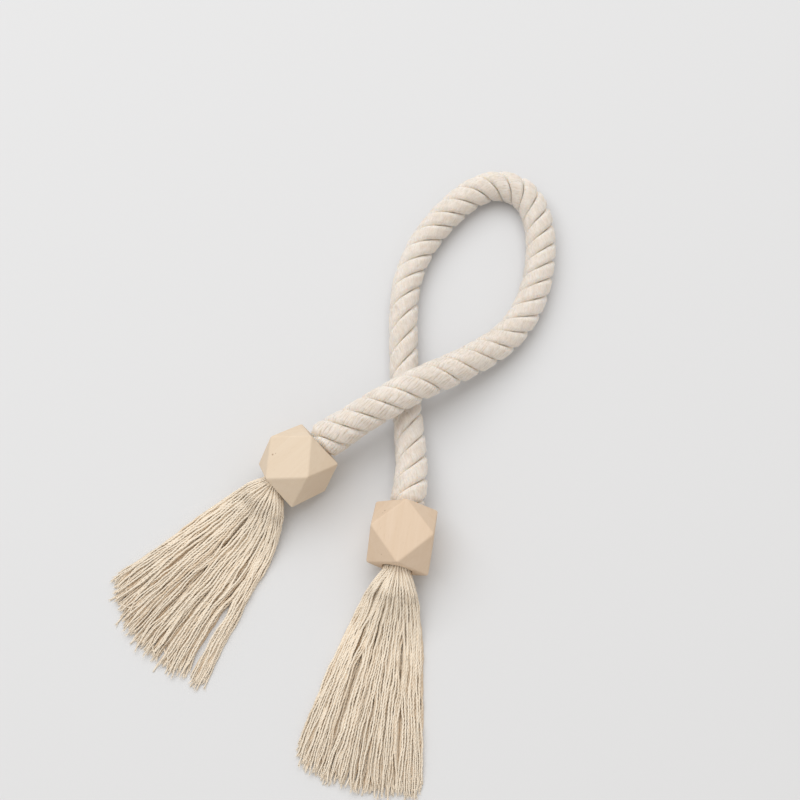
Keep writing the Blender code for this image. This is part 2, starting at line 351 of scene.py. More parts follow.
def tube_faces(rings, sides, first=0):
    """The quads of a tube of rings, and the two end caps, as lists of point numbers."""
    ring = np.arange(rings - 1)[:, None] * sides + first
    column = np.arange(sides)[None, :]
    after = (column + 1) % sides
    quads = np.stack([ring + column, ring + after, ring + sides + after, ring + sides + column], axis=-1)
    caps = [list(range(first + sides - 1, first - 1, -1))]
    caps.append(list(range(first + (rings - 1) * sides, first + rings * sides)))
    return quads.reshape(-1, 4).tolist(), caps


def add_mesh(name, points, faces, material):
    """Add a smooth-shaded mesh of points of the plan as a piece of the tieback."""
    mesh = bpy.data.meshes.new(name)
    mesh.from_pydata(placed(points), [], faces)
    mesh.shade_smooth()
    mesh.materials.append(material)
    item = bpy.data.objects.new(name, mesh)
    bpy.context.collection.objects.link(item)
    return item


def add_attribute(item, name, values):
    """Store one number for each point of a piece."""
    attribute = item.data.attributes.new(name, 'FLOAT', 'POINT')
    attribute.data.foreach_set("value", np.asarray(values, dtype=np.float32).ravel())


def tube_rings(line, width, outline, twist):
    """Rings of an outline round a line, turning about it, at a width for each ring."""
    forward = unit(np.gradient(line, axis=0))
    level = unit(np.cross((0.0, 0.0, 1.0), forward))
    lift = np.cross(forward, level)
    angle = twist[:, None] + 2 * math.pi * np.arange(len(outline)) / len(outline)
    reach = width[:, None] * np.array(outline)[None, :]
    return (
        line[:, None, :]
        + (reach * np.cos(angle))[..., None] * level[:, None, :]
        + (reach * np.sin(angle))[..., None] * lift[:, None, :]
    )


class Skein:
    """Tubes gathered into one mesh, each with its tone and the painted shade of its outline's hollows."""

    def __init__(self):
        self.points, self.faces, self.smooth, self.total = [], [], [], 0
        self.tones, self.depths, self.runs = [], [], []

    def add(self, line, width, outline, twist, tone, smooth=True):
        rings = tube_rings(line, width, outline, twist)
        count, sides = rings.shape[:2]
        quads, caps = tube_faces(count, sides, first=self.total)
        self.faces += quads + caps
        self.smooth += [smooth] * (len(quads) + 2)
        self.points.append(rings.reshape(-1, 3))
        self.tones.append(np.repeat(np.broadcast_to(tone, count), sides))
        # Painted shade: the hollows of a tube's outline, such as the waist between a yarn's plies, are painted
        # towards the shade colour.
        self.depths.append(np.tile(1 - np.array(outline), count))
        run = np.linalg.norm(line - line[0], axis=1)
        self.runs.append(np.repeat(run + 200.0 * len(self.runs), sides))
        self.total += count * sides

    def mesh(self, name, material):
        points = np.concatenate(self.points)
        points[:, 2] = np.maximum(points[:, 2], 0.03)
        item = add_mesh(name, points, self.faces, material)
        item.data.polygons.foreach_set("use_smooth", self.smooth)
        add_attribute(item, "tone", np.concatenate(self.tones))
        add_attribute(item, "depth", np.concatenate(self.depths))
        add_attribute(item, "run", np.concatenate(self.runs))
        return item


# ---------------------------------------------------------------- the rope's line

def bead_axis(bead):
    """The bore's direction, towards the rope."""
    pitch = math.radians(bead.pitch)
    return heading(bead.yaw) * math.cos(pitch) + np.array([0.0, 0.0, math.sin(pitch)])


def bore_point(bead, distance):
    """A point of the plan on the bore's axis, at a distance from the bead's centre towards the rope."""
    return np.array([bead.x, bead.y, bead.z]) + bead_axis(bead) * distance


def mouth_depth(bead):
    """How far beyond the bead's centre the yarns leave the bore, clear of the askew face."""
    return bead.size / 2 + (bead.size / 2 + BORE_RADIUS) * BEAD_SKEW + HEAD_PROUD


def smooth_curve(points, step):
    """Walk a natural cubic spline through the points at an even step, and give places and distances."""
    knots = np.array(points, dtype=float)
    spans = np.linalg.norm(np.diff(knots, axis=0), axis=1)
    count = len(knots)
    system = np.eye(count)
    pull = np.zeros((count, 3))
    slopes = np.diff(knots, axis=0) / spans[:, None]
    for k in range(1, count - 1):
        system[k, k - 1:k + 2] = spans[k - 1], 2 * (spans[k - 1] + spans[k]), spans[k]
        pull[k] = 6 * (slopes[k] - slopes[k - 1])
    bend = np.linalg.solve(system, pull)

    fine = []
    for k, span in enumerate(spans):
        t = np.linspace(0.0, span, SAMPLES_PER_SPAN, endpoint=False)[:, None]
        rest = span - t
        fine.append(
            (bend[k] * rest**3 + bend[k + 1] * t**3) / (6 * span)
            + (knots[k] / span - bend[k] * span / 6) * rest
            + (knots[k + 1] / span - bend[k + 1] * span / 6) * t
        )
    fine = np.concatenate(fine + [knots[-1:]])
    lengths = np.concatenate(([0.0], np.cumsum(np.linalg.norm(np.diff(fine, axis=0), axis=1))))
    distances = np.linspace(0.0, lengths[-1], round(lengths[-1] / step) + 1)
    places = np.stack([np.interp(distances, lengths, fine[:, k]) for k in range(3)], axis=1)
    return places, distances


def rope_line(step):
    """The rope's centre line: places, distances and the directions along, across and up."""
    right, left = BEADS["right"], BEADS["left"]
    enter = [bore_point(right, d) for d in (ROPE_END_DEPTH, right.size / 4, right.size / 2)]
    leave = [bore_point(left, d) for d in (left.size / 2, left.size / 4, ROPE_END_DEPTH)]
    places, distances = smooth_curve(enter + ROPE_ROUTE + leave, step)
    forward = unit(np.gradient(places, axis=0))
    side = unit(np.cross((0.0, 0.0, 1.0), forward))
    return places, distances, forward, side, np.cross(forward, side)


def strands_passed(distance):
    """How many strands have passed over the top of the rope at distances from its right end."""
    first, second = ROPE_TWIST[0], ROPE_TWIST[1]
    last, before = ROPE_TWIST[-1], ROPE_TWIST[-2]
    lead = (second.strands - first.strands) / (second.distance - first.distance)
    trail = (last.strands - before.strands) / (last.distance - before.distance)
    inside = straight(ROPE_TWIST, distance, "strands")
    inside = np.where(distance < first.distance, first.strands + (distance - first.distance) * lead, inside)
    return np.where(distance > last.distance, last.strands + (distance - last.distance) * trail, inside)


def arc(center, radius, start, end, count=36):
    """Points of an arc about a centre, with the angles at which they face."""
    angles = np.linspace(start, end, count)
    return center + radius * np.stack([np.cos(angles), np.sin(angles)], axis=1), angles


def strand_outline():
    """One strand's outline for a rope of radius 1, its crown towards +x.

    Gives the phase along the outline (0 to 1, closed), the points, their normals and the outline's
    length. Phase runs slower over the side that the other strands hide.
    """
    half = math.pi / ROPE_STRANDS
    reach = 1.0 - STRAND_CORNER
    lean = half - math.asin((STRAND_CORNER + STRAND_GAP) / reach)
    shoulder = reach * np.array([math.cos(lean), math.sin(lean)])
    apex = np.array([(STRAND_APEX + STRAND_GAP) / math.sin(half), 0.0])
    square = half + math.pi / 2
    turns = [
        arc(np.zeros(2), 1.0, -lean, lean),
        arc(shoulder, STRAND_CORNER, lean, square),
        arc(apex, STRAND_APEX, square, 2 * math.pi - square),
        arc(shoulder * (1, -1), STRAND_CORNER, 2 * math.pi - square, 2 * math.pi - lean),
    ]
    points = np.concatenate([turn[0] for turn in turns])
    angles = np.concatenate([turn[1] for turn in turns])
    spans = np.linalg.norm(np.roll(points, -1, axis=0) - points, axis=1)
    facing = np.minimum(np.abs(angles), 2 * math.pi - np.abs(angles))
    spans = spans * np.where(facing > HIDDEN_FROM, HIDDEN_SPACING, 1.0)
    length = spans.sum()
    phase = np.concatenate(([0.0], np.cumsum(spans)[:-1])) / length
    normals = np.stack([np.cos(angles), np.sin(angles)], axis=1)
    return phase, points, normals, length


def between_yarns(values):
    """Spread rows of one value for each yarn over the columns of the yarns, evenly from yarn to yarn."""
    count = len(YARN_PROFILE)
    share = np.tile(np.arange(count) / count, len(values))[:, None]
    here = values.repeat(count, axis=0)
    return (here * (1 - share) + np.roll(here, -count, axis=0) * share).T


def build_rope(settings, material):
    """Lay up the rope: three strands whose yarns run on from end to end."""
    chance = random.Random(3)
    centers, distances, _, side, up = rope_line(ROPE_RING_STEP)
    radius = eased(ROPE_GIRTH, distances)
    phase, outline, normals, length = strand_outline()
    lay = strands_passed(distances) * 2 * math.pi / ROPE_STRANDS
    yarn_slope = math.tan(settings.yarn_angle)
    speed = (np.gradient(lay, distances) + yarn_slope / radius) / length
    steps = np.diff(distances) * (speed[1:] + speed[:-1]) / 2
    turn = -np.concatenate(([0.0], np.cumsum(steps)))

    show = straight(YARNS_SHOW, distances, "share")[:, None]
    yarns = settings.yarns_per_strand
    columns = yarns * len(YARN_PROFILE)
    column = np.arange(columns)
    points, faces, tones, depths, shows, corners = [], [], [], [], [], []
    for strand in range(ROPE_STRANDS):
        wobble = settings.wobble / yarns * wander(chance, distances, (19.0, 7.0), yarns)
        wobble = between_yarns(wobble)
        at = (column[None, :] / columns + turn[:, None] + strand * 0.37 + wobble) % 1.0
        x, y, nx, ny = [
            np.interp(at, phase, values, period=1.0)
            for values in (outline[:, 0], outline[:, 1], normals[:, 0], normals[:, 1])
        ]
        swell = 1 + settings.unevenness * wander(chance, distances, (31.0, 13.0), 1)[0]
        proud = wander(chance, distances, (47.0, 19.0), yarns) + wander(chance, distances, (7.0, 4.0), yarns)
        proud = between_yarns(proud)
        faded = np.clip(0.6 + 0.9 * wander(chance, distances, (15.0, 6.0), yarns), 0.0, 1.5)
        faded = between_yarns(faded)
        hollow = 1 - np.array(YARN_PROFILE * yarns)[None, :]
        relief = settings.yarn_relief / MM * show * (1 - hollow * faded) + 0.06 * proud
        reach = (radius * swell)[:, None]
        across, outward = reach * y + relief * ny, reach * x + relief * nx
        middle = math.pi / 2 + lay + (strand + 0.5) * 2 * math.pi / ROPE_STRANDS
        cos, sin = np.cos(middle)[:, None], np.sin(middle)[:, None]
        along_side, along_up = outward * cos - across * sin, outward * sin + across * cos
        strand_points = (
            centers[:, None, :]
            + along_side[..., None] * side[:, None, :]
            + along_up[..., None] * up[:, None, :]
        )
        quads, caps = tube_faces(len(distances), columns, first=len(points) * len(distances) * columns)
        faces += quads + caps
        points.append(strand_points.reshape(-1, 3))
        hub = np.hypot(x, y)
        tone = settings.base_tone + np.array([chance.gauss(0, 0.3) for _ in range(yarns)])
        # Painted light: the strands' flanks beside the grooves are painted paler, to offset the shade that falls in
        # the grooves.
        painted_flank_mask = np.clip((0.97 - hub) / 0.12, 0, 1)
        # Painted shade: the cotton between neighbouring yarns is painted darker in tone, where shade falls in the
        # valleys.
        painted_valley_shade = show * hollow**2 * faded
        tone = tone.repeat(len(YARN_PROFILE)) + settings.yarn_painted_shade * painted_valley_shade - settings.painted_flank_light * painted_flank_mask
        tones.append(tone.ravel())
        # Painted light: the shaded bottoms of the grooves take a paler, warmer colour, standing in for warm light
        # bounced into them.
        depths.append((np.clip((0.86 - hub) / 0.12, 0, 1) * settings.groove_painted_share).ravel())
        shows.append(np.broadcast_to(show, x.shape).ravel())
        across_uv = np.stack([column, column + 1, column + 1, column], axis=1) / len(YARN_PROFILE)
        along_uv = np.stack([distances[:-1], distances[:-1], distances[1:], distances[1:]], axis=1)
        quad_uv = np.empty((len(distances) - 1, columns, 4, 2))
        quad_uv[..., 0] = across_uv[None] + strand * yarns
        quad_uv[..., 1] = along_uv[:, None]
        corners += [quad_uv.reshape(-1, 2), np.zeros((2 * columns, 2))]
    points = np.concatenate(points)
    points[:, 2] = np.maximum(points[:, 2], 0.04)
    item = add_mesh("rope_strands", points, faces, material)
    add_attribute(item, "tone", np.concatenate(tones))
    add_attribute(item, "depth", np.concatenate(depths))
    add_attribute(item, "show", np.concatenate(shows))
    yarn_map = item.data.uv_layers.new(name="yarn")
    yarn_map.data.foreach_set("uv", np.concatenate(corners).astype(np.float32).ravel())
    return item


def build_fuzz(settings, material):
    """Loose fibres that stand off the rope and sweep along it."""
    chance = random.Random(17)
    centers, distances, forward, side, up = rope_line(ROPE_RING_STEP)
    radius = eased(ROPE_GIRTH, distances)
    low, high = np.searchsorted(distances, (11.0, distances[-1] - 11.0))
    fuzz = Skein()
    for _ in range(settings.fibres):
        k = chance.randrange(low, high)
        angle = chance.uniform(-0.35 * math.pi, 1.35 * math.pi)
        outward = math.cos(angle) * side[k] + math.sin(angle) * up[k]
        around = math.cos(angle) * up[k] - math.sin(angle) * side[k]
        length = chance.uniform(0.8, 3.0)
        along = length * chance.choice((-1, 1)) * chance.uniform(0.4, 1.0)
        sweep = length * chance.uniform(-0.7, 0.7)
        lift = 0.32 * length * chance.random() + 0.1
        s = np.array([0.0, 0.5, 1.0])[:, None]
        arch = np.sin(s * chance.uniform(1.5, 3.0))
        foot = centers[k] + outward * (radius[k] * chance.uniform(0.955, 0.985))
        hair = foot + forward[k] * along * s + around * sweep * s**1.5 + outward * lift * arch
        fuzz.add(hair, FIBRE_WIDTH, (1.0,) * 3, np.zeros(3), settings.base_tone - 1.0, smooth=False)
    return fuzz.mesh("rope_fuzz", material)


# ---------------------------------------------------------------- the tassels' yarns

def root_disc(rank, share):
    """Where yarns leave the bore: heights and sideways places in a round bundle of radius 1."""
    height = np.linspace(-1, 1, 201)
    filled = 0.5 + (height * np.sqrt(1 - height**2) + np.arcsin(height)) / math.pi
    up = np.interp(rank, filled, height)
    return up, (1 - 2 * share) * np.sqrt(1 - up**2)


def settle(points, radii, alive, rest_height, rounds):
    """Push yarns apart where they lie in each other, as they come to rest on the table and on each other.

    The yarns are sorted from left to right, so only near neighbours are compared.
    """
    start = points.copy()
    neighbours = 34
    for _ in range(rounds):
        push = np.zeros_like(points)
        for hop in range(1, neighbours):
            gap = points[hop:] - points[:-hop]
            distance = np.sqrt((gap**2).sum(axis=2)) + 1e-6
            overlap = np.maximum(2 * radii[None, :] - distance, 0.0)
            overlap *= alive[hop:] * alive[:-hop]
            move = gap * (overlap / distance * 0.5)[..., None]
            push[hop:] += move
            push[:-hop] -= move
        points += 0.45 * push
        points[..., 2] -= 0.02 * rest_height
        points[..., 2] = np.maximum(points[..., 2], radii[None, :] + 0.02)
        shift = points - start
        shift[:, 0] = 0.0
        blurred = shift.copy()
        blurred[:, 1:-1] = 0.5 * shift[:, 1:-1] + 0.25 * (shift[:, :-2] + shift[:, 2:])
        points = start + blurred
        points[..., 2] = np.maximum(points[..., 2], radii[None, :] + 0.02)
    return points


def lay_yarns(side, settings):
    """Lay one tassel's yarns from its bead's mouth to their tips, each a row of places at even steps."""
    bead, fan = BEADS[side], TASSELS[side]
    chance = random.Random(fan.seed)
    count = settings.yarns
    rank = (np.arange(count) + 0.5) / count
    share = (0.5 + np.arange(count) * (math.sqrt(5) - 1) / 2) % 1.0
    order = np.argsort(share)
    rank, share = rank[order], (np.arange(count) + 0.5) / count
    length = straight(fan.tips, share, "reach")
    length = length + np.array([chance.gauss(0, 0.55) * TIP_UNEVENNESS for _ in range(count)])
    stations = np.arange(0.0, length.max() + 2 * YARN_STATION, YARN_STATION)
    reach = straight(fan.tips, share, "reach")
    t = stations[None, :] / reach[:, None]

    axis = bead_axis(bead)
    across = -unit(np.cross(axis, (0.0, 0.0, 1.0)))
    up = np.cross(axis, across)
    mouth = bore_point(bead, -mouth_depth(bead))
    thin = settings.yarn_diameter / MM / 2
    radii = np.interp(stations, (0, 20), (0.72, 0.93)) * thin
    lift, sideways = root_disc(rank, share)
    bundle = BORE_RADIUS - 0.3 - radii[0]
    root = mouth + bundle * (sideways[:, None] * across + lift[:, None] * up)

    clumps = settings.clumps
    wobble = np.array([chance.uniform(-0.25, 0.25) for _ in range(clumps + 1)])
    nearest = np.clip(np.round(share * clumps), 0, clumps).astype(int)
    centre = np.clip((nearest + wobble[nearest]) / clumps, 0, 1)
    loose = np.array([chance.uniform(0.2, 1.0) for _ in range(count)]) * (0.3 + 0.7 * rank)
    inner = np.minimum(share, 1 - share) > 0.03
    tip_share = np.where(inner, share + (centre - share) * loose * settings.clumping, share)
    for low, high in zip(fan.tips, fan.tips[1:]):
        if high.share - low.share < 0.02:
            left_of = share < (low.share + high.share) / 2
            tip_share = np.where(left_of, np.minimum(tip_share, low.share), np.maximum(tip_share, high.share))
    tip = mouth + heading(straight(fan.tips, tip_share, "heading")) * reach[:, None]
    start = heading(np.interp(share, (0, 1), fan.start_headings))
    end = heading(np.interp(tip_share, (0, 1), fan.end_headings))
    pulls = [root, root + start * START_PULL, tip - end * END_PULL, tip]
    rest = 1 - t
    weights = (rest**3, 3 * rest**2 * t, 3 * rest * t**2, t**3)
    points = sum(w[..., None] * pull[:, None, :] for w, pull in zip(weights, pulls))

    width = np.linalg.norm(points[-1] - points[0], axis=1) + 1.0
    pile = np.minimum(count * (2 * thin) ** 2 * settings.looseness / width, 2.1 * bundle)
    landed = smoothstep(t / settings.landing)
    rounded = 0.6 + 0.5 * np.sin(math.pi * np.clip(share, 0.02, 0.98)) ** 0.6
    bottom = (mouth[2] - bundle) * (1 - landed)
    level = bottom + radii + (rank * rounded)[:, None] * np.maximum(pile - 2 * thin, 0.0)[None, :]
    drawn = smoothstep(t / 0.2)
    points[..., 2] = root[:, 2:3] * (1 - drawn) + level * drawn

    forward = unit(np.gradient(points, axis=1))
    sideward = unit(np.cross(forward, (0.0, 0.0, 1.0)))
    free = smoothstep(t / 0.35)
    sway = settings.sway / MM * free * wander(chance, stations, (62.0, 29.0), count)
    crimp = settings.crimp / MM * smoothstep(t / 0.15) * wander(chance, stations, (11.0, 6.5), count)
    for parting in fan.partings:
        window = smoothstep((t - parting.start) / 0.12) * smoothstep((parting.end - t) / 0.12)
        off = share - parting.share
        near = np.exp(-np.abs(off / 0.07)) * np.sign(-off) * smoothstep((rank - parting.depth) / 0.2)
        sway = sway + parting.width * window * near[:, None]
    points += sideward * (sway + crimp)[..., None]
    points[..., 2] += settings.crimp / MM * free * wander(chance, stations, (17.0, 10.0), count)
    alive = (stations[None, :] < length[:, None] + YARN_STATION).astype(float)
    points = settle(points, radii, alive, landed, settings.settling_rounds)
    for stray in fan.strays:
        yarn = np.argmax(rank - 25 * np.abs(share - stray.share))
        drift = np.interp(t[yarn], stray.places, stray.drifts)
        drift[1:-1] = (drift[:-2] + 2 * drift[1:-1] + drift[2:]) / 4
        points[yarn] += sideward[yarn] * drift[:, None]
        points[yarn, :, 2] += 0.5 * smoothstep(np.abs(drift))
    return points, rank, stations, length, seen_share(points)


def seen_share(points):
    """How much of each yarn's line is not covered from above by its neighbours."""
    covered = np.zeros(points.shape[:2], dtype=bool)
    for hop in range(1, 20):
        gap = points[hop:] - points[:-hop]
        near = np.hypot(gap[..., 0], gap[..., 1]) < 0.55
        covered[:-hop] |= near & (gap[..., 2] > 0.4)
        covered[hop:] |= near & (gap[..., 2] < -0.4)
    return 1 - covered.mean(axis=1)


def finer(points, stations, length, step):
    """Read a yarn's line at a finer step, on smooth curves through its places."""
    at = np.linspace(0.0, length, max(int(round(length / step)), 2) + 1)
    spot = np.clip(at / YARN_STATION, 0, len(stations) - 1.001)
    k = spot.astype(int)
    f = (spot - k)[:, None]
    before = points[np.maximum(k - 1, 0)]
    here, after = points[k], points[k + 1]
    beyond = points[np.minimum(k + 2, len(points) - 1)]
    line = here + 0.5 * f * (
        after - before
        + f * (2 * before - 5 * here + 4 * after - beyond + f * (3 * (here - after) + beyond - before))
    )
    return line, at


def bend_tip(line, at, turn, stretch):
    """Bend the last stretch of a yarn sideways by an angle, as a cut end curls."""
    steps = np.diff(line, axis=0)
    share = smoothstep((at[1:] - (at[-1] - stretch)) / stretch)
    angle = turn * share
    turned = steps.copy()
    turned[:, 0] = steps[:, 0] * np.cos(angle) - steps[:, 1] * np.sin(angle)
    turned[:, 1] = steps[:, 0] * np.sin(angle) + steps[:, 1] * np.cos(angle)
    return np.concatenate([line[:1], line[:1] + np.cumsum(turned, axis=0)])


def yarn_tones(tone, at, tip, settings):
    """A yarn's tone along its length: painted lighter by its bead, to offset the shade that falls there, and pale
    over a tip's length at its cut end, partly painted light.
    """
    tones = tone - settings.mouth_painted_light * (1 - smoothstep(at / 38.0))
    return tones + (settings.tip_tone - tones) * smoothstep((at - at[-1] + tip) / tip)


def spin_yarn(line, at, thick, tone, settings, chance, skein):
    """Spin a yarn of two plies, its cut end pale, partly painted light against the shade of its thin ends, a little
    open and frayed.
    """
    twist = 2 * math.pi * at / (settings.ply_pitch / MM) + chance.uniform(0, 2 * math.pi)
    end = at[-1]
    girth = np.interp(at, (0.0, 20.0, end - 8.0, end - 1.5, end), (0.88, 1.0, 1.0, 0.85, 0.5))
    width = thick * girth * chance.uniform(0.93, 1.07)
    skein.add(line, width, YARN_OUTLINE, twist, yarn_tones(tone, at, 7.0, settings))
    forward = unit(line[-1] - line[-3])
    level = unit(np.cross((0.0, 0.0, 1.0), forward))
    lift = np.cross(forward, level)
    for _ in range(5):
        across = chance.uniform(-0.6, 0.6)
        root = line[-2] + level * across * thick
        reach = np.linspace(0, chance.uniform(0.8, 2.2), 3)[:, None]
        flare = level * across * 0.9 + lift * chance.uniform(-0.1, 0.3)
        hair = root + forward * reach + flare * reach**1.4 * 0.5
        skein.add(hair, np.array([0.12, 0.09, 0.04]), (1.0,) * 3, np.zeros(3), settings.tip_tone, smooth=False)


def build_tassel(side, settings, material):
    """Make a tassel's yarns along the lines that they have settled into: those on show, and the rest."""
    places, ranks, stations, lengths, seen = lay_yarns(side, settings)
    chance = random.Random(TASSELS[side].seed + 100)
    axis = bead_axis(BEADS[side])
    thick = settings.yarn_diameter / MM / 2
    on_show = seen >= np.quantile(seen, 1 - settings.shown_share)
    skeins = {"deep": Skein(), "left": Skein(), "right": Skein()}
    for yarn in range(len(places)):
        step = settings.ring_step / MM if on_show[yarn] else YARN_STATION
        line, at = finer(places[yarn], stations, lengths[yarn], step)
        curl = chance.gauss(0, 0.14)
        if chance.random() < settings.curled:
            curl = chance.choice((-1, 1)) * chance.uniform(0.7, 1.4)
        if not len(places) * 0.1 < yarn < len(places) * 0.9:
            curl = math.copysign(curl, len(places) / 2 - yarn)
        line = bend_tip(line, at, curl, chance.uniform(6, 12))
        line = np.concatenate([line[:1] + axis * settings.root_depth / MM, line])
        at = np.concatenate([[-settings.root_depth / MM], at])
        # Painted shade: yarns lower in the pile are painted darker and browner, as the shade and warm bounce among
        # them would make them.
        tone = chance.gauss(-0.5, 1.1) + settings.pile_painted_shade * (0.5 - ranks[yarn])
        if on_show[yarn]:
            label = "left" if on_show[:yarn].sum() < on_show.sum() / 2 else "right"
            spin_yarn(line, at, thick * 1.04, tone, settings, chance, skeins[label])
        else:
            width = thick * np.interp(at, (0.0, 14.0, at[-1] - 6, at[-1]), (1.0, 1.15, 1.0, 0.6))
            # Painted shade: yarns that show only through the gaps are painted darker and browner, where shade falls
            # between the yarns above.
            skeins["deep"].add(line, width, (1.0,) * 6, at * 0, yarn_tones(tone + settings.gap_painted_shade, at, 5.0, settings))
    for _ in range(settings.fibres):
        yarn = chance.randrange(len(places))
        k = chance.randrange(3, int(lengths[yarn] / YARN_STATION) - 1)
        forward = unit(places[yarn, k + 1] - places[yarn, k])
        reach = np.array([0.0, 0.5, 1.0])[:, None] * chance.uniform(0.8, 3.0)
        aside = unit(np.array([chance.gauss(0, 1), chance.gauss(0, 1), abs(chance.gauss(0, 1))]))
        hair = places[yarn, k] + aside * thick * 0.8 + forward * reach + aside * reach**1.3 * 0.3
        skeins["deep"].add(hair, FIBRE_WIDTH, (1.0,) * 3, np.zeros(3), 0.0, smooth=False)
    return [skein.mesh(f"tassel_{side}_yarns_{label}", material) for label, skein in skeins.items()]


# ---------------------------------------------------------------- the beads

def build_bead(side, settings, material):
    """Cut a bead from a cube, ease its edges, bore it and sand it."""
    bead = BEADS[side]
    half = bead.size / 2 * MM
    start_clean()
    bpy.ops.mesh.primitive_cube_add(size=2 * half, location=(0, 0, 0))
    item = bpy.context.object
    item.name = "wood_bead_" + side
    item.data.name = item.name
    bpy.ops.object.mode_set(mode='EDIT')
    bpy.ops.mesh.select_all(action='SELECT')
    bpy.ops.mesh.bevel(offset_type='PERCENT', offset_pct=50, affect='VERTICES')
    bpy.ops.mesh.remove_doubles(threshold=0.01 * MM)
    bpy.ops.object.mode_set(mode='OBJECT')
    for vertex in item.data.vertices:
        if vertex.co.x < -half / 2:
            vertex.co.x += (vertex.co.y - half) * BEAD_SKEW

    easing = item.modifiers.new("Eased edges", 'BEVEL')
    easing.width = settings.edge_round
    easing.segments = 4
    apply_modifiers(item)

    start_clean()
    bpy.ops.mesh.primitive_cylinder_add(
        vertices=96,
        radius=BORE_RADIUS * MM,
        depth=4 * half,
        location=(0, 0, 0),
        rotation=(0, math.radians(90), 0),
    )
    drill = bpy.context.object
    bore = item.modifiers.new("Bore", 'BOOLEAN')
    bore.operation = 'DIFFERENCE'
    bore.solver = 'EXACT'
    bore.object = drill
    rim = item.modifiers.new("Eased rims", 'BEVEL')
    rim.width = settings.edge_round * 0.8
    rim.segments = 3
    rim.limit_method = 'ANGLE'
    rim.angle_limit = math.radians(60)
    apply_modifiers(item)
    bpy.data.objects.remove(drill, do_unlink=True)
    item.data.shade_smooth()
    facets = item.modifiers.new("Flat facets", 'WEIGHTED_NORMAL')
    facets.keep_sharp = True
    apply_modifiers(item)
    turn = Euler([math.radians(a) for a in (bead.roll, -bead.pitch, bead.yaw)]).to_matrix().to_4x4()
    item.data.transform(Matrix.Translation(place((bead.x, bead.y, bead.z))) @ turn)
    for vertex in item.data.vertices:
        vertex.co.z = max(vertex.co.z, 0.0)
    item.data.materials.append(material)
    item.data.update()
    return item


# ---------------------------------------------------------------- materials

def add_node(tree, kind, settings=None, **inputs):
    """Add a shader node, set its own options and the values of its inputs or link them."""
    node = tree.nodes.new(kind)
    for name, value in (settings or {}).items():
        setattr(node, name, value)
    for name, value in inputs.items():
        socket = node.inputs[int(name[1:])] if name[0] == "_" and name[1:].isdigit() else node.inputs[name]
        if isinstance(value, bpy.types.NodeSocket):
            tree.links.new(value, socket)
        else:
            socket.default_value = value
    return node


def math_node(tree, operation, first, second=0.0):
    """A math node's result."""
    return add_node(tree, 'ShaderNodeMath', {"operation": operation}, _0=first, _1=second).outputs[0]


def ramp(tree, value, low, high, start=0.0, end=1.0):
    """Map a value from one range to another."""
    node = add_node(tree, 'ShaderNodeMapRange', None, Value=value)
    node.inputs["From Min"].default_value = low
    node.inputs["From Max"].default_value = high
    node.inputs["To Min"].default_value = start
    node.inputs["To Max"].default_value = end
    return node.outputs["Result"]


def blend(tree, share, first, second, mode='MIX'):
    """Mix two colours by a share."""
    node = tree.nodes.new('ShaderNodeMix')
    node.data_type = 'RGBA'
    node.blend_type = mode
    for socket, value in zip((node.inputs[0], node.inputs[6], node.inputs[7]), (share, first, second)):
        if isinstance(value, bpy.types.NodeSocket):
            tree.links.new(value, socket)
        else:
            socket.default_value = value
    return node.outputs[2]


def new_group(name, inputs, outputs):
    """Start a shader node group with named sockets, and give its tree, input node and output node."""
    group = bpy.data.node_groups.new(name, 'ShaderNodeTree')
    for label, kind in inputs:
        group.interface.new_socket(name=label, in_out='INPUT', socket_type=kind)
    for label, kind in outputs:
        group.interface.new_socket(name=label, in_out='OUTPUT', socket_type=kind)
    return group, group.nodes.new('NodeGroupInput'), group.nodes.new('NodeGroupOutput')


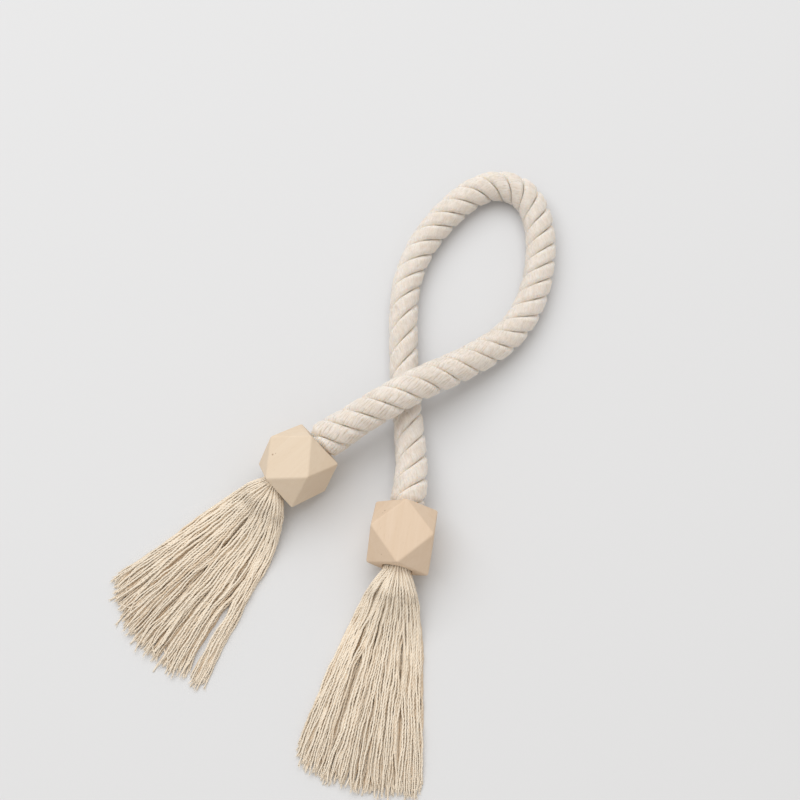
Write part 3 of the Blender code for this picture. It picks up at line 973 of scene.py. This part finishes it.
def cotton_group():
    """Spun cotton: fibres along the yarn, specks of seed coat, and yarns of slightly different tone. The tone, depth
    and snag inputs also carry painted shade and painted light.
    """
    group, given, result = new_group(
        "spun_cotton",
        [
            ("Colour", 'NodeSocketColor'),
            ("Shade colour", 'NodeSocketColor'),
            ("Depth colour", 'NodeSocketColor'),
            ("Tone", 'NodeSocketFloat'),
            ("Depth", 'NodeSocketFloat'),
            ("Snags and shade", 'NodeSocketFloat'),
            ("Streaks", 'NodeSocketFloat'),
            ("Strokes", 'NodeSocketFloat'),
            ("Along", 'NodeSocketVector'),
            ("Place", 'NodeSocketVector'),
        ],
        [("Colour", 'NodeSocketColor'), ("Roughness", 'NodeSocketFloat'), ("Height", 'NodeSocketFloat')],
    )
    fibre = add_node(group, 'ShaderNodeTexNoise', None, Vector=given.outputs["Along"], Detail=4.0, Scale=1.0)
    patch = add_node(group, 'ShaderNodeTexNoise', None, Vector=given.outputs["Place"], Detail=3.0, Scale=60.0)
    speck = add_node(group, 'ShaderNodeTexNoise', None, Vector=given.outputs["Place"], Detail=2.0, Scale=900.0)
    tone = math_node(group, 'MULTIPLY_ADD', given.outputs["Tone"], 0.16)
    tone.node.inputs[2].default_value = 0.22
    mottled = math_node(group, 'ADD', tone, ramp(group, patch.outputs["Fac"], 0.3, 0.7, -0.08, 0.08))
    streaks = math_node(group, 'SUBTRACT', fibre.outputs["Fac"], 0.5)
    streaked = math_node(group, 'ADD', mottled, math_node(group, 'MULTIPLY', streaks, given.outputs["Streaks"]))
    sparse = add_node(group, 'ShaderNodeMapping', None, Vector=given.outputs["Along"], Scale=(0.7, 0.8, 1.0))
    stroke = add_node(group, 'ShaderNodeTexNoise', None, Vector=sparse.outputs[0], Detail=2.0, Scale=1.0)
    strokes = ramp(group, stroke.outputs["Fac"], 0.57, 0.68, 0.0, 1.0)
    streaked = math_node(group, 'ADD', streaked, math_node(group, 'MULTIPLY', strokes, given.outputs["Strokes"]))
    lint = add_node(group, 'ShaderNodeTexNoise', None, Vector=given.outputs["Place"], Detail=3.0, Scale=1300.0)
    streaked = math_node(group, 'ADD', streaked, ramp(group, lint.outputs["Fac"], 0.3, 0.7, -0.12, 0.12))
    shade = add_node(group, 'ShaderNodeClamp', None, Value=streaked).outputs[0]
    colour = blend(group, shade, given.outputs["Colour"], given.outputs["Shade colour"])
    # Painted shade and light: the depth share blends in the colour painted into hollows and grooves.
    colour = blend(group, given.outputs["Depth"], colour, given.outputs["Depth colour"])
    flecks = ramp(group, speck.outputs["Fac"], 0.74, 0.80, 0.0, 0.35)
    # Specks of seed coat, snags, and painted shadow under the rope's crossing darken the cotton.
    flecks = math_node(group, 'MAXIMUM', flecks, math_node(group, 'MULTIPLY', given.outputs["Snags and shade"], 0.55))
    colour = blend(group, flecks, colour, (0.42, 0.32, 0.21, 1.0))
    group.links.new(colour, result.inputs["Colour"])
    group.links.new(ramp(group, fibre.outputs["Fac"], 0.3, 0.7, 0.84, 0.97), result.inputs["Roughness"])
    height = math_node(group, 'ADD', fibre.outputs["Fac"], lint.outputs["Fac"])
    group.links.new(height, result.inputs["Height"])
    return group


def wood_group():
    """Pale sanded wood: soft growth rings, fibres along the grain and short open pores."""
    group, given, result = new_group(
        "pale_wood",
        [
            ("Light wood", 'NodeSocketColor'),
            ("Dark wood", 'NodeSocketColor'),
            ("Place", 'NodeSocketVector'),
            ("Pits", 'NodeSocketFloat'),
        ],
        [("Colour", 'NodeSocketColor'), ("Roughness", 'NodeSocketFloat'), ("Height", 'NodeSocketFloat')],
    )
    place_in = given.outputs["Place"]
    long = add_node(group, 'ShaderNodeMapping', None, Vector=place_in, Scale=(60.0, 900.0, 900.0))
    wide = add_node(group, 'ShaderNodeMapping', None, Vector=place_in, Scale=(18.0, 110.0, 150.0))
    short = add_node(group, 'ShaderNodeMapping', None, Vector=place_in, Scale=(420.0, 2600.0, 2600.0))
    fibre = add_node(group, 'ShaderNodeTexNoise', None, Vector=long.outputs[0], Detail=3.0, Scale=1.0)
    cloud = add_node(group, 'ShaderNodeTexNoise', None, Vector=wide.outputs[0], Detail=3.0, Scale=1.0)
    pore = add_node(group, 'ShaderNodeTexNoise', None, Vector=short.outputs[0], Detail=1.0, Scale=1.0)
    bands = math_node(group, 'MULTIPLY', cloud.outputs["Fac"], 34.0)
    rings = ramp(group, math_node(group, 'SINE', bands), -1.0, 1.0, -0.10, 0.10)
    mottled = ramp(group, cloud.outputs["Fac"], 0.3, 0.7, 0.12, 0.50)
    grain = math_node(group, 'ADD', math_node(group, 'ADD', mottled, rings),
                      ramp(group, fibre.outputs["Fac"], 0.3, 0.7, -0.12, 0.12))
    pores = ramp(group, pore.outputs["Fac"], 0.66, 0.74, 0.0, 1.0)
    dark = add_node(group, 'ShaderNodeClamp', None, Value=grain).outputs[0]
    colour = blend(group, dark, given.outputs["Light wood"], given.outputs["Dark wood"])
    open_pores = math_node(group, 'MULTIPLY', pores, 0.10)
    marks = math_node(group, 'MAXIMUM', open_pores, math_node(group, 'MULTIPLY', given.outputs["Pits"], 0.75))
    colour = blend(group, marks, colour, (0.36, 0.24, 0.14, 1.0))
    group.links.new(colour, result.inputs["Colour"])
    group.links.new(ramp(group, fibre.outputs["Fac"], 0.3, 0.7, 0.58, 0.74), result.inputs["Roughness"])
    deep = math_node(group, 'MULTIPLY_ADD', given.outputs["Pits"], 4.0)
    group.links.new(pores, deep.node.inputs[2])
    height = math_node(group, 'SUBTRACT', math_node(group, 'MULTIPLY', fibre.outputs["Fac"], 0.6), deep)
    group.links.new(height, result.inputs["Height"])
    return group


def start_material(name):
    """A new material with its tree and its Principled shader."""
    material = bpy.data.materials.new(name)
    material.use_nodes = True
    return material, material.node_tree, material.node_tree.nodes["Principled BSDF"]


def marks_mask(tree, where, spots):
    """A mask of round soft marks at places (in millimetres and their radii) of a coordinate."""
    mask = 0.0
    for spot, radius in spots:
        away = add_node(tree, 'ShaderNodeVectorMath', {"operation": 'DISTANCE'}, _0=where, _1=spot)
        edge = ramp(tree, away.outputs["Value"], radius * 0.4 * MM, radius * MM, 1.0, 0.0)
        mask = math_node(tree, 'MAXIMUM', edge, mask)
    return mask


def finish_surface(tree, shader, group, strength, distance):
    """Lead a group's colour, roughness and height into the shader."""
    bump = add_node(tree, 'ShaderNodeBump', None, Height=group.outputs["Height"])
    bump.inputs["Strength"].default_value = strength
    bump.inputs["Distance"].default_value = distance
    tree.links.new(group.outputs["Colour"], shader.inputs["Base Color"])
    tree.links.new(group.outputs["Roughness"], shader.inputs["Roughness"])
    tree.links.new(bump.outputs["Normal"], shader.inputs["Normal"])


def cotton_material(name, colour, shade, deep, follows_yarn):
    """A cotton surface; the rope's follows its yarn map, a tassel's its own place."""
    material, tree, shader = start_material(name)
    group = add_node(tree, 'ShaderNodeGroup', {"node_tree": bpy.data.node_groups["spun_cotton"]})
    group.inputs["Colour"].default_value = (*colour, 1.0)
    group.inputs["Shade colour"].default_value = (*shade, 1.0)
    group.inputs["Depth colour"].default_value = (*deep, 1.0)
    tone = add_node(tree, 'ShaderNodeAttribute', {"attribute_name": "tone"})
    tree.links.new(tone.outputs["Fac"], group.inputs["Tone"])
    where = add_node(tree, 'ShaderNodeTexCoord')
    tree.links.new(where.outputs["Object"], group.inputs["Place"])
    # The depth attribute carries painted shade in the tassels' ply hollows and painted warm light in the rope's
    # grooves.
    depth = add_node(tree, 'ShaderNodeAttribute', {"attribute_name": "depth"})
    tree.links.new(depth.outputs["Fac"], group.inputs["Depth"])
    if follows_yarn:
        along = add_node(tree, 'ShaderNodeUVMap', {"uv_map": "yarn"})
        stretch = add_node(tree, 'ShaderNodeMapping', None, Vector=along.outputs[0], Scale=(5.0, 0.45, 1.0))
        # The rope's snag marks, and painted shadow where its upper leg crosses the lower.
        snags_and_shade = [(list(place(snag_or_shade[:3])), snag_or_shade.radius) for snag_or_shade in SNAGS_AND_SHADE]
        tree.links.new(marks_mask(tree, where.outputs["Object"], snags_and_shade), group.inputs["Snags and shade"])
        show = add_node(tree, 'ShaderNodeAttribute', {"attribute_name": "show"})
        tree.links.new(math_node(tree, 'MULTIPLY', show.outputs["Fac"], 0.4), group.inputs["Strokes"])
    else:
        run = add_node(tree, 'ShaderNodeAttribute', {"attribute_name": "run"})
        stretch = add_node(tree, 'ShaderNodeCombineXYZ', None, X=math_node(tree, 'MULTIPLY', run.outputs["Fac"], 0.3))
    tree.links.new(stretch.outputs[0], group.inputs["Along"])
    group.inputs["Streaks"].default_value = 1.0 if follows_yarn else 0.9
    finish_surface(tree, shader, group, 0.6, (0.2 if follows_yarn else 0.05) * MM)
    shader.inputs["Subsurface Weight"].default_value = 1.0 if follows_yarn else 0.0
    shader.inputs["Subsurface Scale"].default_value = 4.5 * MM
    shader.inputs["Subsurface Radius"].default_value = (1.0, 0.85, 0.7)
    shader.inputs["Sheen Weight"].default_value = 0.2 if follows_yarn else 0.05
    shader.inputs["Sheen Roughness"].default_value = 0.6
    shader.inputs["Sheen Tint"].default_value = (1.0, 0.86, 0.68, 1.0)
    shader.inputs["Specular IOR Level"].default_value = 0.2 if follows_yarn else 0.05
    return material


def wood_material(name, side, light, dark):
    """A bead's wood, its grain along the bead's bore."""
    bead = BEADS[side]
    material, tree, shader = start_material(name)
    where = add_node(tree, 'ShaderNodeTexCoord')
    turned = add_node(tree, 'ShaderNodeMapping', {"vector_type": 'TEXTURE'}, Vector=where.outputs["Object"])
    turned.inputs["Location"].default_value = place((bead.x, bead.y, bead.z))
    turned.inputs["Rotation"].default_value = [math.radians(a) for a in (bead.roll, -bead.pitch, bead.yaw)]
    group = add_node(tree, 'ShaderNodeGroup', {"node_tree": bpy.data.node_groups["pale_wood"]})
    group.inputs["Light wood"].default_value = (*light, 1.0)
    group.inputs["Dark wood"].default_value = (*dark, 1.0)
    tree.links.new(turned.outputs[0], group.inputs["Place"])
    pits = [([value * MM for value in pit[:3]], pit.radius) for pit in PITS[side]]
    tree.links.new(marks_mask(tree, turned.outputs[0], pits), group.inputs["Pits"])
    finish_surface(tree, shader, group, 0.35, 0.06 * MM)
    shader.inputs["Specular IOR Level"].default_value = 0.35
    return material


# ---------------------------------------------------------------- settings

class RopeSettings(PropertyGroup):
    yarns_per_strand: IntProperty(
        name="Yarns per strand", description="Yarns round one strand", default=13, min=6, max=40)
    yarn_angle: FloatProperty(
        name="Yarn angle", description="How far the yarns on top turn from the rope's line",
        default=math.radians(17), subtype='ANGLE')
    yarn_relief: FloatProperty(
        name="Yarn relief", description="How far a yarn stands out of its strand",
        default=0.13 * MM, subtype='DISTANCE', unit='LENGTH', precision=5)
    wobble: FloatProperty(
        name="Wobble", description="How far a yarn wanders sideways, as a share of its width",
        default=0.3, subtype='FACTOR')
    fibres: IntProperty(name="Fibres", description="Loose fibres on the rope", default=4600, min=0)
    base_tone: FloatProperty(name="Tone", description="The yarns' usual tone, darker when higher", default=1.6)
    # Painted light: how much paler the flanks by the grooves are painted, against the shade there.
    painted_flank_light: FloatProperty(
        name="Flank light", description="How much lighter in tone a strand's flanks are", default=2.4)
    # Painted light: how far the shaded grooves take their painted warm colour.
    groove_painted_share: FloatProperty(
        name="Groove shade", description="How far the cotton between the strands takes the groove's colour",
        default=0.9, subtype='FACTOR')
    # Painted shade: how much darker in tone the valleys between the yarns are painted.
    yarn_painted_shade: FloatProperty(
        name="Yarn shade", description="How much darker in tone the cotton is between the yarns", default=2.2)
    unevenness: FloatProperty(
        name="Unevenness", description="How much a strand's girth varies", default=0.012, subtype='FACTOR')
    colour: FloatVectorProperty(
        name="Cotton", description="The rope's colour", default=(0.875, 0.828, 0.792), subtype='COLOR')
    # The darker yarns' colour, which the painted shade between the yarns also leans towards.
    shade: FloatVectorProperty(
        name="Cotton shade", description="The rope's darker yarns",
        default=(0.64, 0.575, 0.50), subtype='COLOR')
    # Painted light: the warm colour painted into the shaded grooves, in place of light bounced into them.
    groove_painted_light: FloatVectorProperty(
        name="Groove", description="The rope's colour between its strands",
        default=(0.94, 0.84, 0.72), subtype='COLOR')


class TasselSettings(PropertyGroup):
    yarns: IntProperty(name="Yarns", description="Yarns in one tassel", default=232, min=20)
    yarn_diameter: FloatProperty(
        name="Yarn diameter", description="A loose yarn's diameter",
        default=0.93 * MM, subtype='DISTANCE', unit='LENGTH', precision=5)
    ply_pitch: FloatProperty(
        name="Ply pitch", description="Length of one turn of a yarn's two plies",
        default=3.2 * MM, subtype='DISTANCE', unit='LENGTH', precision=5)
    shown_share: FloatProperty(
        name="Shown share", description="Share of the yarns that are spun in full, those most in view",
        default=0.465, subtype='FACTOR')
    ring_step: FloatProperty(
        name="Step", description="Spacing of the rings along a yarn",
        default=0.6 * MM, subtype='DISTANCE', unit='LENGTH', precision=5)
    root_depth: FloatProperty(
        name="Root depth", description="How far the yarns reach into the bore",
        default=4.0 * MM, subtype='DISTANCE', unit='LENGTH', precision=5)
    sway: FloatProperty(
        name="Sway", description="How far a yarn strays in long waves",
        default=0.55 * MM, subtype='DISTANCE', unit='LENGTH', precision=5)
    crimp: FloatProperty(
        name="Crimp", description="How far a yarn strays in short waves",
        default=0.2 * MM, subtype='DISTANCE', unit='LENGTH', precision=5)
    fibres: IntProperty(name="Fibres", description="Loose fibres on one tassel", default=1500, min=0)
    # Painted shade: how much darker the undermost yarns are painted than the topmost.
    pile_painted_shade: FloatProperty(
        name="Pile shade", description="How much darker in tone the undermost yarns are than the topmost",
        default=2.6)
    # Painted shade: how much darker the yarns seen only in the gaps are painted.
    gap_painted_shade: FloatProperty(
        name="Deep shade", description="How much darker in tone the yarns are that show only in the gaps",
        default=1.7)
    # Painted light: how much lighter the yarns are painted by the bead, against the shade there.
    mouth_painted_light: FloatProperty(
        name="Mouth light", description="How much lighter in tone the yarns are by the bead", default=2.1)
    # Partly painted light: cut ends are paler, and painted paler still to offset the shade their thin tubes take.
    tip_tone: FloatProperty(
        name="Tip tone", description="The tone of the cut ends, pale below 0", default=-1.3)
    clumps: IntProperty(name="Clumps", description="Locks that the yarns gather in", default=17, min=1)
    clumping: FloatProperty(
        name="Clumping", description="How strongly the yarns gather", default=0.75, subtype='FACTOR')
    curled: FloatProperty(
        name="Curled tips", description="Share of the yarns whose tips curl", default=0.025, subtype='FACTOR')
    landing: FloatProperty(
        name="Landing", description="Share of its length at which the lowest yarn lies down",
        default=0.42, subtype='FACTOR')
    looseness: FloatProperty(
        name="Looseness", description="How loosely the yarns are piled", default=1.2)
    settling_rounds: IntProperty(
        name="Settling rounds", description="Rounds of pushing the yarns apart", default=60, min=0)
    colour: FloatVectorProperty(
        name="Yarn", description="The yarns' colour", default=(0.96, 0.87, 0.74), subtype='COLOR')
    # The darker yarns' colour, which the painted shade of the lower yarns, of the gaps and of the plies' hollows also
    # leans towards.
    shade: FloatVectorProperty(
        name="Yarn shade", description="The darker yarns' colour",
        default=(0.62, 0.44, 0.265), subtype='COLOR')


class BeadSettings(PropertyGroup):
    edge_round: FloatProperty(
        name="Edge rounding", description="Width of the eased edges",
        default=0.6 * MM, subtype='DISTANCE', unit='LENGTH', precision=5)
    left_light_wood: FloatVectorProperty(
        name="Left bead, light", description="The left bead's light tone",
        default=(0.77, 0.645, 0.505), subtype='COLOR')
    left_dark_wood: FloatVectorProperty(
        name="Left bead, dark", description="The left bead's dark tone",
        default=(0.72, 0.58, 0.43), subtype='COLOR')
    right_light_wood: FloatVectorProperty(
        name="Right bead, light", description="The right bead's light tone",
        default=(0.755, 0.60, 0.457), subtype='COLOR')
    right_dark_wood: FloatVectorProperty(
        name="Right bead, dark", description="The right bead's dark tone",
        default=(0.695, 0.53, 0.377), subtype='COLOR')


class StageSettings(PropertyGroup):
    table_colour: FloatVectorProperty(
        name="Table", description="The table's colour", default=(0.73, 0.742, 0.762), subtype='COLOR')
    window_power: FloatProperty(
        name="Window light", description="Power of the large soft light", default=36.4, subtype='POWER')
    room_light: FloatProperty(
        name="Room light", description="Strength of the light from all round", default=0.61)


class TiebackSettings(PropertyGroup):
    rope: PointerProperty(type=RopeSettings, name="Rope", description="The twisted rope")
    tassel: PointerProperty(type=TasselSettings, name="Tassels", description="The two tassels")
    bead: PointerProperty(type=BeadSettings, name="Beads", description="The two beads")
    stage: PointerProperty(type=StageSettings, name="Stage", description="Table, light and camera")


# ---------------------------------------------------------------- operators

def need_group(name, make):
    """Make a node group the first time that it is asked for."""
    if name not in bpy.data.node_groups:
        make()


class TIEBACK_OT_rope(Operator):
    """Lay the twisted rope along its route"""
    bl_idname = "tieback.rope"
    bl_label = "Rope"
    bl_options = {'REGISTER', 'UNDO'}

    def execute(self, context):
        settings = context.scene.tieback.rope
        need_group("spun_cotton", cotton_group)
        material = cotton_material("cotton_rope", settings.colour, settings.shade, settings.groove_painted_light, True)
        rope = build_rope(settings, material)
        fuzz = build_fuzz(settings, material)
        for piece in (rope, fuzz):
            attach(piece, "root")
            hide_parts("rope")
        centers, distances, *_ = rope_line(ROPE_RING_STEP)
        return {'FINISHED'}


class TIEBACK_OT_beads(Operator):
    """Cut the two wooden beads"""
    bl_idname = "tieback.beads"
    bl_label = "Beads"
    bl_options = {'REGISTER', 'UNDO'}

    def execute(self, context):
        settings = context.scene.tieback.bead
        need_group("pale_wood", wood_group)
        tones = {
            "left": (settings.left_light_wood, settings.left_dark_wood),
            "right": (settings.right_light_wood, settings.right_dark_wood),
        }
        for side, (light, dark) in tones.items():
            material = wood_material("wood_" + side, side, light, dark)
            bead = build_bead(side, settings, material)
            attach(bead, "root")
            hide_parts("bead_" + side)
        return {'FINISHED'}


class TIEBACK_OT_tassels(Operator):
    """Open the rope's ends out into tassels"""
    bl_idname = "tieback.tassels"
    bl_label = "Tassels"
    bl_options = {'REGISTER', 'UNDO'}

    def execute(self, context):
        settings = context.scene.tieback.tassel
        need_group("spun_cotton", cotton_group)
        material = cotton_material("cotton_tassel", settings.colour, settings.shade, settings.shade, False)
        for side in BEADS:
            for piece in build_tassel(side, settings, material):
                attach(piece, "root")
                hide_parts("tassel_" + side)
        return {'FINISHED'}


class TIEBACK_OT_stage(Operator):
    """Set up the table, the light and the camera"""
    bl_idname = "tieback.stage"
    bl_label = "Stage"
    bl_options = {'REGISTER', 'UNDO'}

    def execute(self, context):
        settings = context.scene.tieback.stage
        start_clean()
        bpy.ops.mesh.primitive_plane_add(size=24.0, location=(0, 0, -0.02 * MM))
        table = context.object
        table.name = "table"
        material, tree, shader = start_material("pale_table")
        shader.inputs["Base Color"].default_value = (*settings.table_colour, 1.0)
        shader.inputs["Roughness"].default_value = 0.75
        shader.inputs["Specular IOR Level"].default_value = 0.2
        table.data.materials.append(material)

        target = place(LOOK_AT)
        window = bpy.data.lights.new("window", 'AREA')
        window.shape = 'RECTANGLE'
        window.size = 2.8
        window.size_y = 2.2
        window.energy = settings.window_power
        window.color = (0.98, 0.99, 1.0)
        lamp = bpy.data.objects.new("window", window)
        lamp.location = target + Vector((-0.45, 0.85, 2.0))
        lamp.rotation_euler = (target - lamp.location).to_track_quat('-Z', 'Y').to_euler()
        context.collection.objects.link(lamp)

        room = bpy.data.worlds.new("room")
        room.use_nodes = True
        background = room.node_tree.nodes["Background"]
        background.inputs["Color"].default_value = (1.0, 0.955, 0.90, 1.0)
        background.inputs["Strength"].default_value = settings.room_light
        context.scene.world = room

        lens = bpy.data.cameras.new("camera")
        lens.sensor_width = SENSOR_WIDTH
        lens.lens = FOCAL_PIXELS * SENSOR_WIDTH / PICTURE_PIXELS
        lens.clip_start = 0.01
        camera = bpy.data.objects.new("camera", lens)
        back = Vector((0.0, -math.sin(CAMERA_TILT), math.cos(CAMERA_TILT)))
        camera.location = target + back * CAMERA_DISTANCE * MM
        camera.rotation_euler = (CAMERA_TILT, 0.0, 0.0)
        context.collection.objects.link(camera)
        context.scene.camera = camera
        context.scene.view_settings.view_transform = 'Standard'
        return {'FINISHED'}


class TIEBACK_PT_sidebar(Panel):
    bl_idname = "TIEBACK_PT_sidebar"
    bl_label = "Cotton tieback"
    bl_space_type = 'VIEW_3D'
    bl_region_type = 'UI'
    bl_category = "Tieback"

    def draw(self, context):
        settings = context.scene.tieback
        sections = [
            (TIEBACK_OT_rope, settings.rope),
            (TIEBACK_OT_beads, settings.bead),
            (TIEBACK_OT_tassels, settings.tassel),
            (TIEBACK_OT_stage, settings.stage),
        ]
        for operator, group in sections:
            box = self.layout.box()
            for name in group.__annotations__:
                box.prop(group, name)
            box.operator(operator.bl_idname)


CLASSES = (
    RopeSettings,
    TasselSettings,
    BeadSettings,
    StageSettings,
    TiebackSettings,
    TIEBACK_OT_rope,
    TIEBACK_OT_beads,
    TIEBACK_OT_tassels,
    TIEBACK_OT_stage,
    TIEBACK_PT_sidebar,
)


def register():
    for item in CLASSES:
        bpy.utils.register_class(item)
    bpy.types.Scene.tieback = PointerProperty(type=TiebackSettings)


def unregister():
    del bpy.types.Scene.tieback
    for item in reversed(CLASSES):
        bpy.utils.unregister_class(item)


def main():
    """Build every piece around the frame."""
    register()
    bpy.ops.tieback.stage()
    bpy.ops.tieback.rope()
    bpy.ops.tieback.beads()
    bpy.ops.tieback.tassels()


if __name__ == "__main__":
    main()
